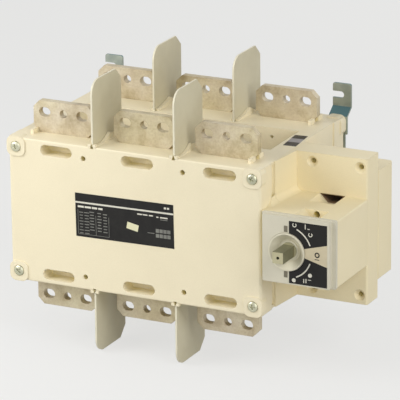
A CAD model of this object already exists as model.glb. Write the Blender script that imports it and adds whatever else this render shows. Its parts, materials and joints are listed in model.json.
import json
import math

import bmesh
import bpy
from mathutils import Matrix, Vector


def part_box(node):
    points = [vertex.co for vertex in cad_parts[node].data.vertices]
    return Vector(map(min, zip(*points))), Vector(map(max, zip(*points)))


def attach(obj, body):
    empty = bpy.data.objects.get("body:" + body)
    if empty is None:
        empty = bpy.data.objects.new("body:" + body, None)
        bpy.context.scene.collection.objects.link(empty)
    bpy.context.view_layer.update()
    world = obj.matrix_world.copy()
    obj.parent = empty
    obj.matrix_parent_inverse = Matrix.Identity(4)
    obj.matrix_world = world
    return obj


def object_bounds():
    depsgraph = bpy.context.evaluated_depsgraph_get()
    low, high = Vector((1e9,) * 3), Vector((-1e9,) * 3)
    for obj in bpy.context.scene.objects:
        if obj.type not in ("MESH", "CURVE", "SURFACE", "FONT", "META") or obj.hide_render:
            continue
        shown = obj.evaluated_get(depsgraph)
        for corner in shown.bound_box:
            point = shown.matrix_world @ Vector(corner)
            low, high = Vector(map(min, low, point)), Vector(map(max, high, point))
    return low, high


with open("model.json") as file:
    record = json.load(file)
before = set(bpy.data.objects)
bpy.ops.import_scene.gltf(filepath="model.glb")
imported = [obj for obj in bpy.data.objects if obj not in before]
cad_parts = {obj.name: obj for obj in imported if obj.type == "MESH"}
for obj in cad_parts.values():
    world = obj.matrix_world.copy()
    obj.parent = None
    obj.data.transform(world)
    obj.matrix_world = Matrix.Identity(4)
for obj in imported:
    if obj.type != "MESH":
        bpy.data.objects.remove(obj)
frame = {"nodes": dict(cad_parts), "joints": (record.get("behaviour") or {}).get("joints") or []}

cad_low, cad_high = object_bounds()
centre = (cad_low + cad_high) / 2
MM = 0.001
UP, DOWN = 1, -1


# ---- colours and node helpers ----

def srgb(r, g, b):
    """A colour written as 0-255 screen values, as linear RGBA."""
    def one(v):
        v = v / 255
        return v / 12.92 if v <= 0.04045 else ((v + 0.055) / 1.055) ** 2.4
    return (one(r), one(g), one(b), 1.0)


CLEAR = (1, 1, 1, 1)  # leaves a colour as it is when the two are multiplied
MIX_A, MIX_B, MIX_RESULT = 6, 7, 2  # a colour mix node's sockets, which share their names


class Nodes:
    """A material's node tree, with one short call for each kind of node used here."""

    def __init__(self, name):
        self.material = bpy.data.materials.new(name)
        self.material.use_nodes = True
        self.tree = self.material.node_tree
        self.shader = self.tree.nodes["Principled BSDF"]
        self.place = self.tree.nodes.new("ShaderNodeTexCoord").outputs["Object"]

    def add(self, kind, **values):
        node = self.tree.nodes.new(kind)
        for key, value in values.items():
            setattr(node, key, value)
        return node

    def link(self, a, b):
        self.tree.links.new(a, b)

    def feed(self, socket, value):
        """Sets a socket to a number or a colour, or links another node's output to it."""
        if isinstance(value, (int, float, tuple)):
            socket.default_value = value
        else:
            self.link(value, socket)

    def stretched(self, x, y, z):
        """Object coordinates multiplied by three numbers."""
        node = self.add("ShaderNodeMapping")
        node.inputs["Scale"].default_value = (x, y, z)
        self.link(self.place, node.inputs["Vector"])
        return node.outputs["Vector"]

    def noise(self, scale, detail=2.0, rough=0.5, place=None):
        node = self.add("ShaderNodeTexNoise")
        node.inputs["Scale"].default_value = scale
        node.inputs["Detail"].default_value = detail
        node.inputs["Roughness"].default_value = rough
        self.link(place or self.place, node.inputs["Vector"])
        return node.outputs["Fac"]

    def ramp(self, fac, *stops):
        """A colour ramp from (position, colour) pairs."""
        node = self.add("ShaderNodeValToRGB")
        elements = node.color_ramp.elements
        while len(elements) < len(stops):
            elements.new(0.5)
        for element, (at, colour) in zip(elements, stops):
            element.position = at
            element.color = colour
        self.link(fac, node.inputs["Fac"])
        return node.outputs["Color"]

    def math(self, operation, a, b):
        node = self.add("ShaderNodeMath", operation=operation)
        for socket, value in zip(node.inputs, (a, b)):
            self.feed(socket, value)
        return node.outputs[0]

    def spread(self, fac, low, high, to_low, to_high):
        node = self.add("ShaderNodeMapRange")
        for name, value in (("From Min", low), ("From Max", high),
                            ("To Min", to_low), ("To Max", to_high)):
            node.inputs[name].default_value = value
        self.link(fac, node.inputs["Value"])
        return node.outputs["Result"]

    def between(self, fac, low, high):
        """The middle of a noise's range, spread from low to high."""
        return self.spread(fac, 0.3, 0.7, low, high)

    def mix(self, kind, fac, a, b):
        node = self.add("ShaderNodeMix", data_type="RGBA", blend_type=kind)
        self.feed(node.inputs["Factor"], fac)
        self.feed(node.inputs[MIX_A], a)
        self.feed(node.inputs[MIX_B], b)
        return node.outputs[MIX_RESULT]

    def toned(self, colour, share, fac, tint, low=0.35, high=0.6):
        """A colour multiplied by a tint where a noise is low, and left alone where it is high."""
        return self.mix("MULTIPLY", share, colour, self.ramp(fac, (low, tint), (high, CLEAR)))

    def facing(self, axis):
        """How squarely the surface faces along an axis of its own object, 0 to 1."""
        geometry = self.add("ShaderNodeNewGeometry")
        apart = self.add("ShaderNodeSeparateXYZ")
        self.link(geometry.outputs["True Normal"], apart.inputs[0])
        return self.math("ABSOLUTE", apart.outputs["XYZ".index(axis)], 0)

    def hollow(self, reach):
        """How deep a point lies in a hollow or a corner, 0 in the open to 1 in a deep hole."""
        node = self.add("ShaderNodeAmbientOcclusion", samples=8)
        node.inputs["Distance"].default_value = reach
        return self.spread(node.outputs["AO"], 0.3, 0.05, 0.0, 1.0)

    def edges(self, radius):
        """1 along sharp edges, 0 on flat faces: how far a rounded normal leaves the true one."""
        geometry = self.add("ShaderNodeNewGeometry")
        both = self.add("ShaderNodeVectorMath", operation="DOT_PRODUCT")
        self.link(self.rounded(radius), both.inputs[0])
        self.link(geometry.outputs["Normal"], both.inputs[1])
        return self.spread(both.outputs["Value"], 0.995, 0.85, 0.0, 1.0)

    def rounded(self, radius):
        node = self.add("ShaderNodeBevel", samples=4)
        node.inputs["Radius"].default_value = radius
        return node.outputs["Normal"]

    def bump(self, height, strength, distance, normal=None):
        node = self.add("ShaderNodeBump")
        node.inputs["Strength"].default_value = strength
        node.inputs["Distance"].default_value = distance
        self.link(height, node.inputs["Height"])
        if normal is not None:
            self.link(normal, node.inputs["Normal"])
        self.link(node.outputs["Normal"], self.shader.inputs["Normal"])

    def set(self, **values):
        """Feeds the shader's own sockets, and gives back the finished material."""
        for name, value in values.items():
            self.feed(self.shader.inputs[name.replace("_", " ")], value)
        return self.material


# ---- materials ----

def moulded_cream(name, low, high, deep):
    """Moulded cream plastic, a deeper yellow inside its hollows."""
    n = Nodes(name)
    colour = n.ramp(n.noise(9, detail=3, rough=0.55), (0.3, low), (0.6, high))
    colour = n.mix("MIX", n.hollow(reach=0.02), colour, deep)
    colour = n.toned(colour, 0.6, n.noise(900, rough=0.6), (0.95, 0.95, 0.94, 1))
    grain = n.math("ADD", n.noise(1400), n.math("MULTIPLY", n.noise(60), 0.6))
    n.bump(grain, strength=0.12, distance=0.00012, normal=n.rounded(radius=0.0011))
    return n.set(Base_Color=colour, Specular_IOR_Level=0.35,
                 Roughness=n.between(n.noise(35, detail=3), 0.40, 0.52))


def tinned_copper():
    """Dull tin over copper: pinkish and yellowish clouds, fine mottle, brown along the edges."""
    n = Nodes("tinned_copper")
    cloud = n.noise(34, detail=4, rough=0.6)
    tint = n.noise(13, detail=3, rough=0.55)
    mottle = n.noise(330, rough=0.6)
    brushed = n.noise(60, detail=3, rough=0.6, place=n.stretched(1, 1, 14))
    colour = n.ramp(cloud, (0.3, srgb(178, 165, 136)), (0.48, srgb(208, 199, 173)),
                    (0.68, srgb(222, 216, 196)))
    warm = n.ramp(tint, (0.35, (1, 0.96, 0.82, 1)), (0.62, (1, 0.95, 0.93, 1)))
    colour = n.mix("MULTIPLY", 0.8, colour, warm)
    colour = n.toned(colour, 0.75, mottle, (0.86, 0.83, 0.80, 1), low=0.32)
    colour = n.toned(colour, 0.7, brushed, (0.93, 0.92, 0.90, 1), low=0.3, high=0.7)
    in_holes = n.math("MULTIPLY", n.hollow(reach=0.012), 0.6)
    colour = n.mix("MIX", in_holes, colour, srgb(160, 126, 74))
    on_edges = n.math("MULTIPLY", n.edges(radius=0.0007), 0.4)
    colour = n.mix("MIX", on_edges, colour, srgb(150, 116, 80))
    n.bump(brushed, strength=0.10, distance=0.0002, normal=n.rounded(radius=0.0008))
    return n.set(Base_Color=colour, Metallic=0.35, Roughness=n.between(cloud, 0.42, 0.56))


def barrier_board():
    """Thin insulating board, whose cut edges are paler than its faces."""
    n = Nodes("barrier_board")
    face = n.ramp(n.noise(14, detail=3, rough=0.6),
                  (0.3, srgb(198, 190, 162)), (0.6, srgb(207, 200, 173)))
    on_face = n.spread(n.facing("X"), 0.5, 0.7, 0.0, 1.0)
    n.bump(n.noise(700), strength=0.10, distance=0.0001, normal=n.rounded(radius=0.0004))
    return n.set(Base_Color=n.mix("MIX", on_face, srgb(230, 224, 200), face),
                 Roughness=n.between(n.noise(120), 0.42, 0.55))


def plain_moulding(name, low, high, rough=0.45):
    """Plain moulded plastic with a fine grain."""
    n = Nodes(name)
    grain = n.noise(1100)
    colour = n.ramp(n.noise(24, detail=3, rough=0.55), (0.3, low), (0.7, high))
    n.bump(grain, strength=0.10, distance=0.0001, normal=n.rounded(radius=0.0007))
    return n.set(Base_Color=n.toned(colour, 0.6, grain, (0.95, 0.95, 0.95, 1)),
                 Roughness=n.between(n.noise(80), rough - 0.05, rough + 0.07))


def plated_steel(name, low, high, rough, metallic, turned=None):
    """Plated steel. turned: an axis, the colour of faces along it, and where that sets in."""
    n = Nodes(name)
    cloud = n.noise(45, detail=4, rough=0.6)
    colour = n.ramp(cloud, (0.3, low), (0.7, high))
    if turned:
        axis, other, start, end = turned
        colour = n.mix("MIX", n.spread(n.facing(axis), start, end, 0.0, 1.0), colour, other)
    n.bump(n.noise(500, detail=3, rough=0.6), strength=0.12, distance=0.0001,
           normal=n.rounded(radius=0.0006))
    return n.set(Base_Color=colour, Metallic=metallic,
                 Roughness=n.between(cloud, rough - 0.06, rough + 0.1))


def printed(name, low, high, rough=0.5):
    """Print, film or paint, with little shine."""
    n = Nodes(name)
    n.bump(n.noise(1500), strength=0.08, distance=0.00005)
    return n.set(Base_Color=n.ramp(n.noise(90, detail=3, rough=0.6), (0.3, low), (0.7, high)),
                 Specular_IOR_Level=0.25,
                 Roughness=n.between(n.noise(200), rough - 0.05, rough + 0.08))


CREAM = moulded_cream("moulded_cream", srgb(237, 226, 195), srgb(242, 231, 200),
                      srgb(242, 229, 162))
BOX_CREAM = moulded_cream("mechanism_cream", srgb(237, 224, 186), srgb(241, 228, 191),
                          srgb(240, 226, 152))
COPPER = tinned_copper()
BOARD = barrier_board()
PLATE = plain_moulding("dial_plate_grey", srgb(210, 205, 184), srgb(217, 211, 191))
SEAT = plain_moulding("seat_grey", srgb(218, 212, 188), srgb(226, 220, 197))
SHAFT = plated_steel("shaft_steel", srgb(120, 119, 94), srgb(146, 144, 117), 0.42, 0.6,
                     ("Y", srgb(190, 184, 150), 0.7, 0.95))
STRAP = plated_steel("strap_zinc", srgb(140, 150, 142), srgb(176, 182, 170), 0.42, 0.7,
                     ("Z", srgb(86, 118, 122), 0.25, 0.5))
SCREW = plated_steel("screw_zinc", srgb(186, 186, 160), srgb(214, 212, 188), 0.33, 0.85)
LABEL = printed("label_charcoal", srgb(28, 27, 26), srgb(36, 35, 33), 0.38)
DIAL_DARK = printed("dial_charcoal", srgb(24, 23, 22), srgb(31, 30, 29))
WHITE = printed("print_white", srgb(214, 211, 196), srgb(224, 221, 206))
GREY = printed("print_grey", srgb(118, 118, 112), srgb(134, 134, 126))
PALE = printed("print_pale", srgb(222, 218, 180), srgb(230, 226, 190))
INK = printed("print_dark", srgb(34, 32, 28), srgb(44, 42, 36))
WEDGE = printed("print_wedge", srgb(202, 190, 160), srgb(210, 198, 168), 0.45)
TAB = plain_moulding("tab_grey", srgb(112, 106, 88), srgb(124, 118, 100), 0.5)
HOLLOW = printed("hollow_brown", srgb(112, 90, 68), srgb(126, 102, 78), 0.9)
STICKER_GREY = printed("sticker_grey", srgb(150, 146, 148), srgb(164, 160, 160), 0.45)

BY_START = {
    "front_cover": CREAM, "front_case": CREAM, "rear_cover": CREAM, "rear_case": CREAM,
    "left_link": CREAM, "right_link": CREAM, "mechanism": BOX_CREAM,
    "dial_plate": PLATE, "shaft_seat": SEAT, "drive_shaft": SHAFT,
    "left_strap": STRAP, "right_strap": STRAP,
}


def node_material(name):
    if "_barrier_" in name:
        return BOARD
    if "_bar_" in name:
        return COPPER
    return next(m for start, m in BY_START.items() if name.startswith(start))


for name, node in frame["nodes"].items():
    if not node.material_slots:
        node.data.materials.append(None)
    for held in node.material_slots:
        held.material = node_material(name)


# ---- mesh helpers ----

def linked(name, bm):
    """A bmesh as an object in the scene."""
    mesh = bpy.data.meshes.new(name)
    bm.to_mesh(mesh)
    bm.free()
    obj = bpy.data.objects.new(name, mesh)
    bpy.context.scene.collection.objects.link(obj)
    return obj


def piece(name, bm, material, body):
    """A finished bmesh as one piece that rides on a CAD body."""
    bmesh.ops.recalc_face_normals(bm, faces=bm.faces)
    obj = linked(name, bm)
    obj.data.materials.append(material)
    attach(obj, body)
    return obj


class Sheet:
    """Thin raised shapes on an upright face: x to the right and z up from a middle, in mm."""

    def __init__(self, x, y, z, turn=0.0):
        self.middle = (x, y, z)
        self.turn = math.radians(turn)
        self.bm = bmesh.new()

    def at(self, x, z, out):
        c, s = math.cos(self.turn), math.sin(self.turn)
        mx, my, mz = self.middle
        return Vector((mx + x * c - z * s, my - out, mz + x * s + z * c)) * MM

    def prism(self, outline, low, high):
        """An outline raised from low to high above the face."""
        back = [self.bm.verts.new(self.at(x, z, low)) for x, z in outline]
        front = [self.bm.verts.new(self.at(x, z, high)) for x, z in outline]
        self.bm.faces.new(back)
        self.bm.faces.new(front)
        for i in range(len(outline)):
            j = (i + 1) % len(outline)
            self.bm.faces.new((back[i], back[j], front[j], front[i]))

    def bar(self, x, z, w, h, low, high, angle=0.0):
        a = math.radians(angle)
        c, s = math.cos(a), math.sin(a)
        corners = ((-w / 2, -h / 2), (w / 2, -h / 2), (w / 2, h / 2), (-w / 2, h / 2))
        self.prism([(x + u * c - v * s, z + u * s + v * c) for u, v in corners], low, high)

    def bars(self, sizes, low, high):
        """Upright bars from (x, z, width, height)."""
        for x, z, w, h in sizes:
            self.bar(x, z, w, h, low, high)

    def arc(self, x, z, r, width, start, end, low, high, flat=1.0):
        """A curved stroke of one width round (x, z). flat squeezes it sideways."""
        steps = max(6, int(abs(end - start) / 9))
        angles = [math.radians(start + (end - start) * i / steps) for i in range(steps + 1)]
        for a, b in zip(angles, angles[1:]):
            quad = [(x + flat * q * math.cos(t), z + q * math.sin(t))
                    for q, t in ((r - width / 2, a), (r + width / 2, a),
                                 (r + width / 2, b), (r - width / 2, b))]
            self.prism(quad, low, high)

    def disc(self, x, z, r, low, high):
        turns = [2 * math.pi * i / 24 for i in range(24)]
        self.prism([(x + r * math.cos(t), z + r * math.sin(t)) for t in turns], low, high)

    def done(self, name, material, slot, body="switch"):
        return piece(name, self.bm, material, body)


# ---- the screws on the cover's pads and on the straps ----

cover_low, cover_high = (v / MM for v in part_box("front_cover"))
cover_x, cover_z = (cover_low.x + cover_high.x) / 2, (cover_low.z + cover_high.z) / 2
pad_y = cover_low.y
PAD_PROUD, SEAT_DEPTH = 1.5, 1.0
STRAP_FLAT_Y = -13.6
SCREW_X, SCREW_Z = 173.5, 87.0  # from the cover's middle
CORNERS = ((-1, 1), (1, 1), (-1, -1), (1, -1))
HEAD_PROFILE = ((7.0, 0), (7.2, 0.5), (7.05, 1.5), (6.3, 2.4), (4.9, 2.95), (2.6, 3.2))
HEAD_STEPS = 40
# the recess at its bottom and above its top: length and half width of an arm, and height
RECESS = ((2.6, 0.5, 1.3), (4.6, 0.95, 4.2))


def cross_cutter(place):
    """A tapered cross, as one closed mesh."""
    bm = bmesh.new()
    rings = []
    for arm, half, height in RECESS:
        corner = ((half, -arm), (half, -half), (arm, -half))
        outline = []
        for c, s in ((1, 0), (0, 1), (-1, 0), (0, -1)):
            outline += [(x * c - y * s, x * s + y * c) for x, y in corner]
        rings.append([bm.verts.new(place @ Vector((x, y, height))) for x, y in outline])
    low, high = rings
    bm.faces.new(low)
    bm.faces.new(high)
    for k in range(len(low)):
        m = (k + 1) % len(low)
        bm.faces.new((low[k], low[m], high[m], high[k]))
    bmesh.ops.recalc_face_normals(bm, faces=bm.faces)
    return linked("cutter", bm)


def cut_away(base, cutter):
    """Takes the cutter's shape out of a mesh and drops the cutter."""
    tool = base.modifiers.new("cut", "BOOLEAN")
    tool.operation = "DIFFERENCE"
    tool.solver = "EXACT"
    tool.object = cutter
    bpy.context.view_layer.update()
    result = bpy.data.meshes.new_from_object(
        base.evaluated_get(bpy.context.evaluated_depsgraph_get()))
    base.modifiers.clear()
    base.data = result
    bpy.data.objects.remove(cutter)


def cross_screw(name, x, y, z, turn, out):
    """A pan head with a cross recess. out is 1 on a face to the front, -1 to the back."""
    place = (Matrix.Translation(Vector((x, y, z)) * MM)
             @ Matrix.Rotation(math.radians(90 * out), 4, "X")
             @ Matrix.Rotation(math.radians(turn), 4, "Z") @ Matrix.Scale(MM, 4))
    bm = bmesh.new()
    rings = []
    for i in range(HEAD_STEPS):
        angle = 2 * math.pi * i / HEAD_STEPS
        c, s = math.cos(angle), math.sin(angle)
        rings.append([bm.verts.new(place @ Vector((r * c, r * s, h))) for r, h in HEAD_PROFILE])
    for a, b in zip(rings, rings[1:] + rings[:1]):
        for k in range(len(a) - 1):
            bm.faces.new((a[k], a[k + 1], b[k + 1], b[k]))
    bm.faces.new([ring[0] for ring in rings])
    bm.faces.new([ring[-1] for ring in rings])
    head = piece(name, bm, SCREW, "switch")
    cut_away(head, cross_cutter(place))
    for face in head.data.polygons:
        face.use_smooth = True
    head.data.set_sharp_from_angle(angle=math.radians(30))


def four_screws(name, y, turns, out):
    for number, ((sx, sz), turn) in enumerate(zip(CORNERS, turns), 1):
        cross_screw(f"{name}_{number}", cover_x + sx * SCREW_X, y, cover_z + sz * SCREW_Z,
                    turn, out)


four_screws("cover_screw", pad_y + SEAT_DEPTH, (20, 65, 50, 8), 1)
four_screws("strap_screw", STRAP_FLAT_Y, (30, 75, 15, 55), -1)


# ---- the rating label on the cover, with plain marks where words would be ----
# x and z of its marks are in mm from the label's middle.

LABEL_W, LABEL_H, LABEL_T = 145.2, 60.4, 0.3
LABEL_X, LABEL_Z, LABEL_TURN = -13.1, 5.2, 0.8  # from the cover's middle, and in degrees
PRINT_T = 0.06
INKED = (LABEL_T, LABEL_T + PRINT_T)
TITLE_BARS = ((-64.5, 9), (-54, 9.5), (-44, 8), (-35.2, 6.5))
NOTE_BARS = ((23, 11.6, 7), (31, 11.6, 7), (39.5, 11.6, 6), (49, 10.6, 3), (58.5, 10.6, 11))
TABLE_LINES = ((-69.0, -9.4, 0.5, 34), (-42.5, -12.6, 0.5, 27.5), (-23.2, -12.6, 0.5, 27.5),
               (-46, -26.4, 46, 0.5))
TABLE_ROWS, ROW_TOP, ROW_STEP = 8, 5.0, 4.1
SIDE_NOTES = ((39, -12.4, 10, 1.0), (58.5, 7.6, 10.5, 0.9))
CELL_COLUMNS, CELL_ROWS, CELL_W, CELL_H = (48.5, 54.0, 59.6, 65.2), (-8.2, -15.0), 4.7, 5.0


def label_sheet():
    return Sheet(cover_x + LABEL_X, pad_y + PAD_PROUD, cover_z + LABEL_Z, LABEL_TURN)


plate = label_sheet()
plate.bar(0, 0, LABEL_W, LABEL_H, 0, LABEL_T)
plate.done("rating_label", LABEL, "dial_plate")

light = label_sheet()
light.bar(0, 17.4, LABEL_W, 2.3, *INKED)
light.bars([(x, 11.6, w, 2.6) for x, w in TITLE_BARS], *INKED)
light.bars([(x, z, w, 1.7) for x, z, w in NOTE_BARS], *INKED)
light.bars([(x, 24.2, 3.2, 2.6) for x in (60.5, 65.0)], *INKED)
light.done("rating_label_lines", WHITE, "dial_plate")

dim = label_sheet()
dim.bars(TABLE_LINES, *INKED)
for row in range(TABLE_ROWS):
    z = ROW_TOP - ROW_STEP * row
    dim.bars([(x, z - 1.2, w - (row % 3), 1.1) for x, w in ((-64.2, 6.0), (-56.0, 7.5))], *INKED)
    if row < TABLE_ROWS - 1:
        dim.bars(((-48.3, z + 0.4, 7.0 - (row % 2) * 1.5, 1.2),
                  (-37.2, z, 6.5 - ((row + 1) % 3), 1.3),
                  (-28.6, z - 0.6, 6.0 - (row % 2), 1.3)), *INKED)
dim.bars(SIDE_NOTES, *INKED)
dim.bars([(x, z, CELL_W, CELL_H) for x in CELL_COLUMNS for z in CELL_ROWS], *INKED)
dim.done("rating_label_table", GREY, "dial_plate")

tag = label_sheet()
tag.bar(12.0, -7.1, 17.0, 9.2, *INKED, angle=-11.5)
tag.done("rating_label_tag", PALE, "dial_plate")


# ---- the dial: a dark label on its right half, drawn about the shaft's axis in mm ----

joint = frame["joints"][0]
shaft_x, shaft_z = joint["pos_m"][0] / MM, joint["pos_m"][2] / MM
dial_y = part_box("dial_plate")[0].y / MM
SEAT_EDGE = 26.0
RIGHT, LEFT, TOP, BOTTOM = 57.0, 3.5, 42.6, -41.6
# the pale wedge between the two dark halves: its sides' angles at the seat, and z at the right
WEDGE_ANGLES, WEDGE_TOP, WEDGE_BOTTOM = (16.5, -10.8), 16.2, -13.6
FILM_T = 0.25
FILM = (0, FILM_T)
ON_FILM = (FILM_T, FILM_T + PRINT_T)
TAB_T = 0.4


def dial_sheet():
    return Sheet(shaft_x, dial_y, shaft_z)


def on_circle(r, start, end, steps=14):
    angles = [math.radians(start + (end - start) * i / steps) for i in range(steps + 1)]
    return [(r * math.cos(a), r * math.sin(a)) for a in angles]


edge_angle = math.degrees(math.acos(LEFT / SEAT_EDGE))
upper = dial_sheet()
upper.prism(on_circle(SEAT_EDGE, edge_angle, WEDGE_ANGLES[0])
            + [(RIGHT, WEDGE_TOP), (RIGHT, TOP), (LEFT, TOP)], *FILM)
upper.done("dial_label_upper", DIAL_DARK, "dial_plate")
lower = dial_sheet()
lower.prism(on_circle(SEAT_EDGE, WEDGE_ANGLES[1], -edge_angle)
            + [(LEFT, BOTTOM), (RIGHT, BOTTOM), (RIGHT, WEDGE_BOTTOM)], *FILM)
lower.done("dial_label_lower", DIAL_DARK, "dial_plate")
wedge = dial_sheet()
wedge.prism(on_circle(SEAT_EDGE, *WEDGE_ANGLES, steps=8)
            + [(RIGHT, WEDGE_BOTTOM), (RIGHT, WEDGE_TOP)], *FILM)
wedge.done("dial_label_wedge", WEDGE, "dial_plate")

marks = dial_sheet()
for r, start, end in ((35.6, 21, 66), (35.0, -19, -67)):
    marks.arc(0, 0, r, 1.7, start, end, *ON_FILM)
# one stroke above and two below name the positions, each with a short level stroke beside it
marks.bars(((26.6, 37.6, 1.2, 6.4), (24.3, -35.9, 1.2, 5.6), (27.5, -35.6, 1.2, 5.6),
            (32.4, -33.7, 4.4, 0.9), (31.2, 35.0, 3.0, 1.0)), *ON_FILM)
for x, z in ((11.3, 38.0), (33.7, 27.7)):
    marks.arc(x, z, 2.4, 1.1, 120, 415, *ON_FILM)
for x, z, r in ((33.1, -27.4, 2.8), (10.3, -37.0, 2.7)):
    marks.disc(x, z, r, *ON_FILM)
marks.done("dial_marks", WHITE, "dial_plate")

zero = dial_sheet()
zero.arc(43.2, 1.6, 2.9, 1.7, 0, 360, *ON_FILM, flat=0.95)
zero.bar(43.0, -4.6, 6.4, 1.1, *ON_FILM)
zero.done("dial_zero", INK, "dial_plate")

tabs = dial_sheet()
tabs.bars(((-1.1, 31.2, 4.9, 8.2), (-1.2, -30.4, 5.0, 8.2)), 0, TAB_T)
tabs.done("dial_tabs", TAB, "dial_plate")


# ---- the dark insides of the mechanism's two windows ----

frame_low, frame_high = (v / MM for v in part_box("mechanism_frame"))
# as in the CAD source: the windows' middle in from the right side, their sizes, the box's height
WINDOW_IN, WINDOW_W, WINDOW_FLOOR, WINDOW_H, WINDOW_D = 50.0, 36.0, 13.0, 11.5, 26.0
BOX_H = 91.0
ABOVE_BOX = 0.4
OUTER_SHRINK, INNER_SHRINK = 0.02, 0.14


def window_lining(name, side):
    """Thin dark walls just inside a window, open to the front."""
    lining = Sheet(frame_high.x - WINDOW_IN, frame_low.y, (frame_low.z + frame_high.z) / 2)
    top = side * (BOX_H / 2 + ABOVE_BOX)
    floor = side * (BOX_H / 2 - WINDOW_H)
    middle = (top + floor) / 2
    window = ((-WINDOW_W / 2, top), (WINDOW_W / 2, top),
              (WINDOW_FLOOR / 2, floor), (-WINDOW_FLOOR / 2, floor))

    def shrunk(by):
        return [(u * (1 - by), middle + (v - middle) * (1 - by)) for u, v in window]
    outside, inside = shrunk(OUTER_SHRINK), shrunk(INNER_SHRINK)
    for i in range(4):
        j = (i + 1) % 4
        lining.prism([outside[i], outside[j], inside[j], inside[i]], -WINDOW_D + 0.5, -0.3)
    lining.prism(outside, -WINDOW_D + 0.2, -WINDOW_D + 1.0)
    lining.done(name, HOLLOW, "housing")


window_lining("window_lining_upper", UP)
window_lining("window_lining_lower", DOWN)


# ---- a plain banded sticker on the right link ----

link_low, link_high = (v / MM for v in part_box("right_link"))
STICKER_W, STICKER_T, STICKER_TURN = 18.0, 0.2, 5.0
STICKER_X, STICKER_Y = 0.8, 4.0  # from the link's middle


class Flat(Sheet):
    """The same as Sheet, on a level face: x to the right and v to the back."""

    def at(self, x, v, out):
        c, s = math.cos(self.turn), math.sin(self.turn)
        mx, my, mz = self.middle
        return Vector((mx + x * c - v * s, my + x * s + v * c, mz + out)) * MM


def band(name, low, high, material):
    strip = Flat((link_low.x + link_high.x) / 2 + STICKER_X,
                 (link_low.y + link_high.y) / 2 + STICKER_Y, link_high.z, STICKER_TURN)
    strip.bar(0, (low + high) / 2, STICKER_W, high - low, 0, STICKER_T)
    strip.done(name, material, "dial_plate")


band("link_sticker_front", -24.0, -7.5, LABEL)
band("link_sticker_middle", -7.5, 8.5, STICKER_GREY)
band("link_sticker_back", 8.5, 24.0, LABEL)


# ---- floor and light ----

BACKDROP_SEEN = (0.86, 0.86, 0.85, 1)
BACKDROP_LIGHT = (0.4, 0.4, 0.4, 1)
FLOOR_GLOW = (0.88, 0.88, 0.87, 1)
FLOOR_THROWN = (0.5, 0.5, 0.49, 1)
GLOW_SHARE = 0.75
FLOOR_R, FLOOR_STEPS, FLOOR_DROP = 14, 96, 0.0005


def seen_ray(tree):
    """1 for what the camera, a reflection or a clear body shows, 0 for light on things."""
    path = tree.nodes.new("ShaderNodeLightPath")
    seen = path.outputs["Is Camera Ray"]
    for ray in ("Is Glossy Ray", "Is Transmission Ray"):
        either = tree.nodes.new("ShaderNodeMath")
        either.operation = "MAXIMUM"
        tree.links.new(seen, either.inputs[0])
        tree.links.new(path.outputs[ray], either.inputs[1])
        seen = either.outputs[0]
    return seen


def either_shader(tree, share, first, second):
    """A mix of two shaders. share is a number, or another node's output."""
    node = tree.nodes.new("ShaderNodeMixShader")
    if isinstance(share, float):
        node.inputs[0].default_value = share
    else:
        tree.links.new(share, node.inputs[0])
    tree.links.new(first, node.inputs[1])
    tree.links.new(second, node.inputs[2])
    return node.outputs[0]


def floor_material():
    """A pale floor that shows the shadow, and throws little light back up at the object."""
    n = Nodes("studio_floor")
    n.set(Roughness=0.9,
          Base_Color=n.ramp(n.noise(0.8), (0.3, srgb(222, 222, 220)), (0.7, srgb(226, 226, 224))))
    glow = n.add("ShaderNodeEmission")
    glow.inputs["Color"].default_value = FLOOR_GLOW
    thrown = n.add("ShaderNodeBsdfDiffuse")
    thrown.inputs["Color"].default_value = FLOOR_THROWN
    shown = either_shader(n.tree, GLOW_SHARE, n.shader.outputs[0], glow.outputs[0])
    surface = either_shader(n.tree, seen_ray(n.tree), thrown.outputs[0], shown)
    n.link(surface, n.tree.nodes["Material Output"].inputs["Surface"])
    return n.material


ground = bmesh.new()
bmesh.ops.create_circle(ground, cap_ends=True, segments=FLOOR_STEPS, radius=FLOOR_R)
floor = linked("floor", ground)
floor.location = (centre.x, centre.y, cad_low.z - FLOOR_DROP)
floor.data.materials.append(floor_material())

world = bpy.data.worlds.new("studio")
world.use_nodes = True
sky = world.node_tree
lit = sky.nodes["Background"]
lit.inputs["Color"].default_value = BACKDROP_LIGHT
shown = sky.nodes.new("ShaderNodeBackground")
shown.inputs["Color"].default_value = BACKDROP_SEEN
backdrop = either_shader(sky, seen_ray(sky), lit.outputs[0], shown.outputs[0])
sky.links.new(backdrop, sky.nodes["World Output"].inputs["Surface"])
bpy.context.scene.world = world


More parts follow.
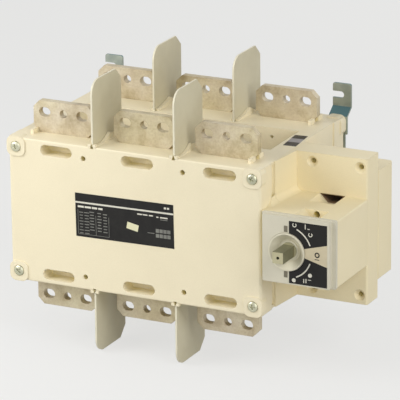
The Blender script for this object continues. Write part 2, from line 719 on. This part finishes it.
def direction(azimuth, elevation):
    """From the object's middle: azimuth to the right of the front, elevation up, in radians."""
    return Vector((math.sin(azimuth) * math.cos(elevation),
                   -math.cos(azimuth) * math.cos(elevation), math.sin(elevation)))


def soft_lamp(name, azimuth, elevation, distance, size, watts):
    """A round lamp that looks at the object's middle. Angles are in degrees, lengths in m."""
    data = bpy.data.lights.new(name, "AREA")
    data.shape = "DISK"
    data.size = size
    data.energy = watts
    lamp = bpy.data.objects.new(name, data)
    towards = direction(math.radians(azimuth), math.radians(elevation))
    lamp.location = centre + towards * distance
    lamp.rotation_mode = "QUATERNION"
    lamp.rotation_quaternion = (-towards).to_track_quat("-Z", "Y")
    bpy.context.scene.collection.objects.link(lamp)


soft_lamp("upper_left", -50, 27, 1.4, 0.9, 11.4)
soft_lamp("upper_right", 60, 38, 4.0, 1.6, 38)
soft_lamp("front_right", 30, 10, 4.0, 1.6, 22)
soft_lamp("right", 80, 12, 4.0, 1.6, 22)
soft_lamp("back", 180, 12, 4.0, 2.4, 30)


# ---- camera ----

AZIMUTH, ELEVATION, ROLL = math.radians(26.38), math.radians(18.15), math.radians(-0.63)
LENS_MM, SENSOR_MM, DISTANCE = 308.97, 36.0, 4.4535
CLIP_NEAR, CLIP_FAR = 0.1, 60
LOOK_AT = centre + Vector((45.62, -124.0, 48.63)) * MM

back = direction(AZIMUTH, ELEVATION)
right = Vector((math.cos(AZIMUTH), math.sin(AZIMUTH), 0))
up = back.cross(right)
image_right = right * math.cos(ROLL) + up * math.sin(ROLL)
image_up = up * math.cos(ROLL) - right * math.sin(ROLL)

camera_data = bpy.data.cameras.new("camera")
camera_data.sensor_width = SENSOR_MM
camera_data.lens = LENS_MM
camera_data.clip_start = CLIP_NEAR
camera_data.clip_end = CLIP_FAR
camera = bpy.data.objects.new("camera", camera_data)
camera.location = LOOK_AT + back * DISTANCE
camera.rotation_mode = "QUATERNION"
camera.rotation_quaternion = Matrix((image_right, image_up, back)).transposed().to_quaternion()
bpy.context.scene.collection.objects.link(camera)
bpy.context.scene.camera = camera
bpy.context.scene.view_settings.view_transform = "Standard"

bpy.context.view_layer.update()
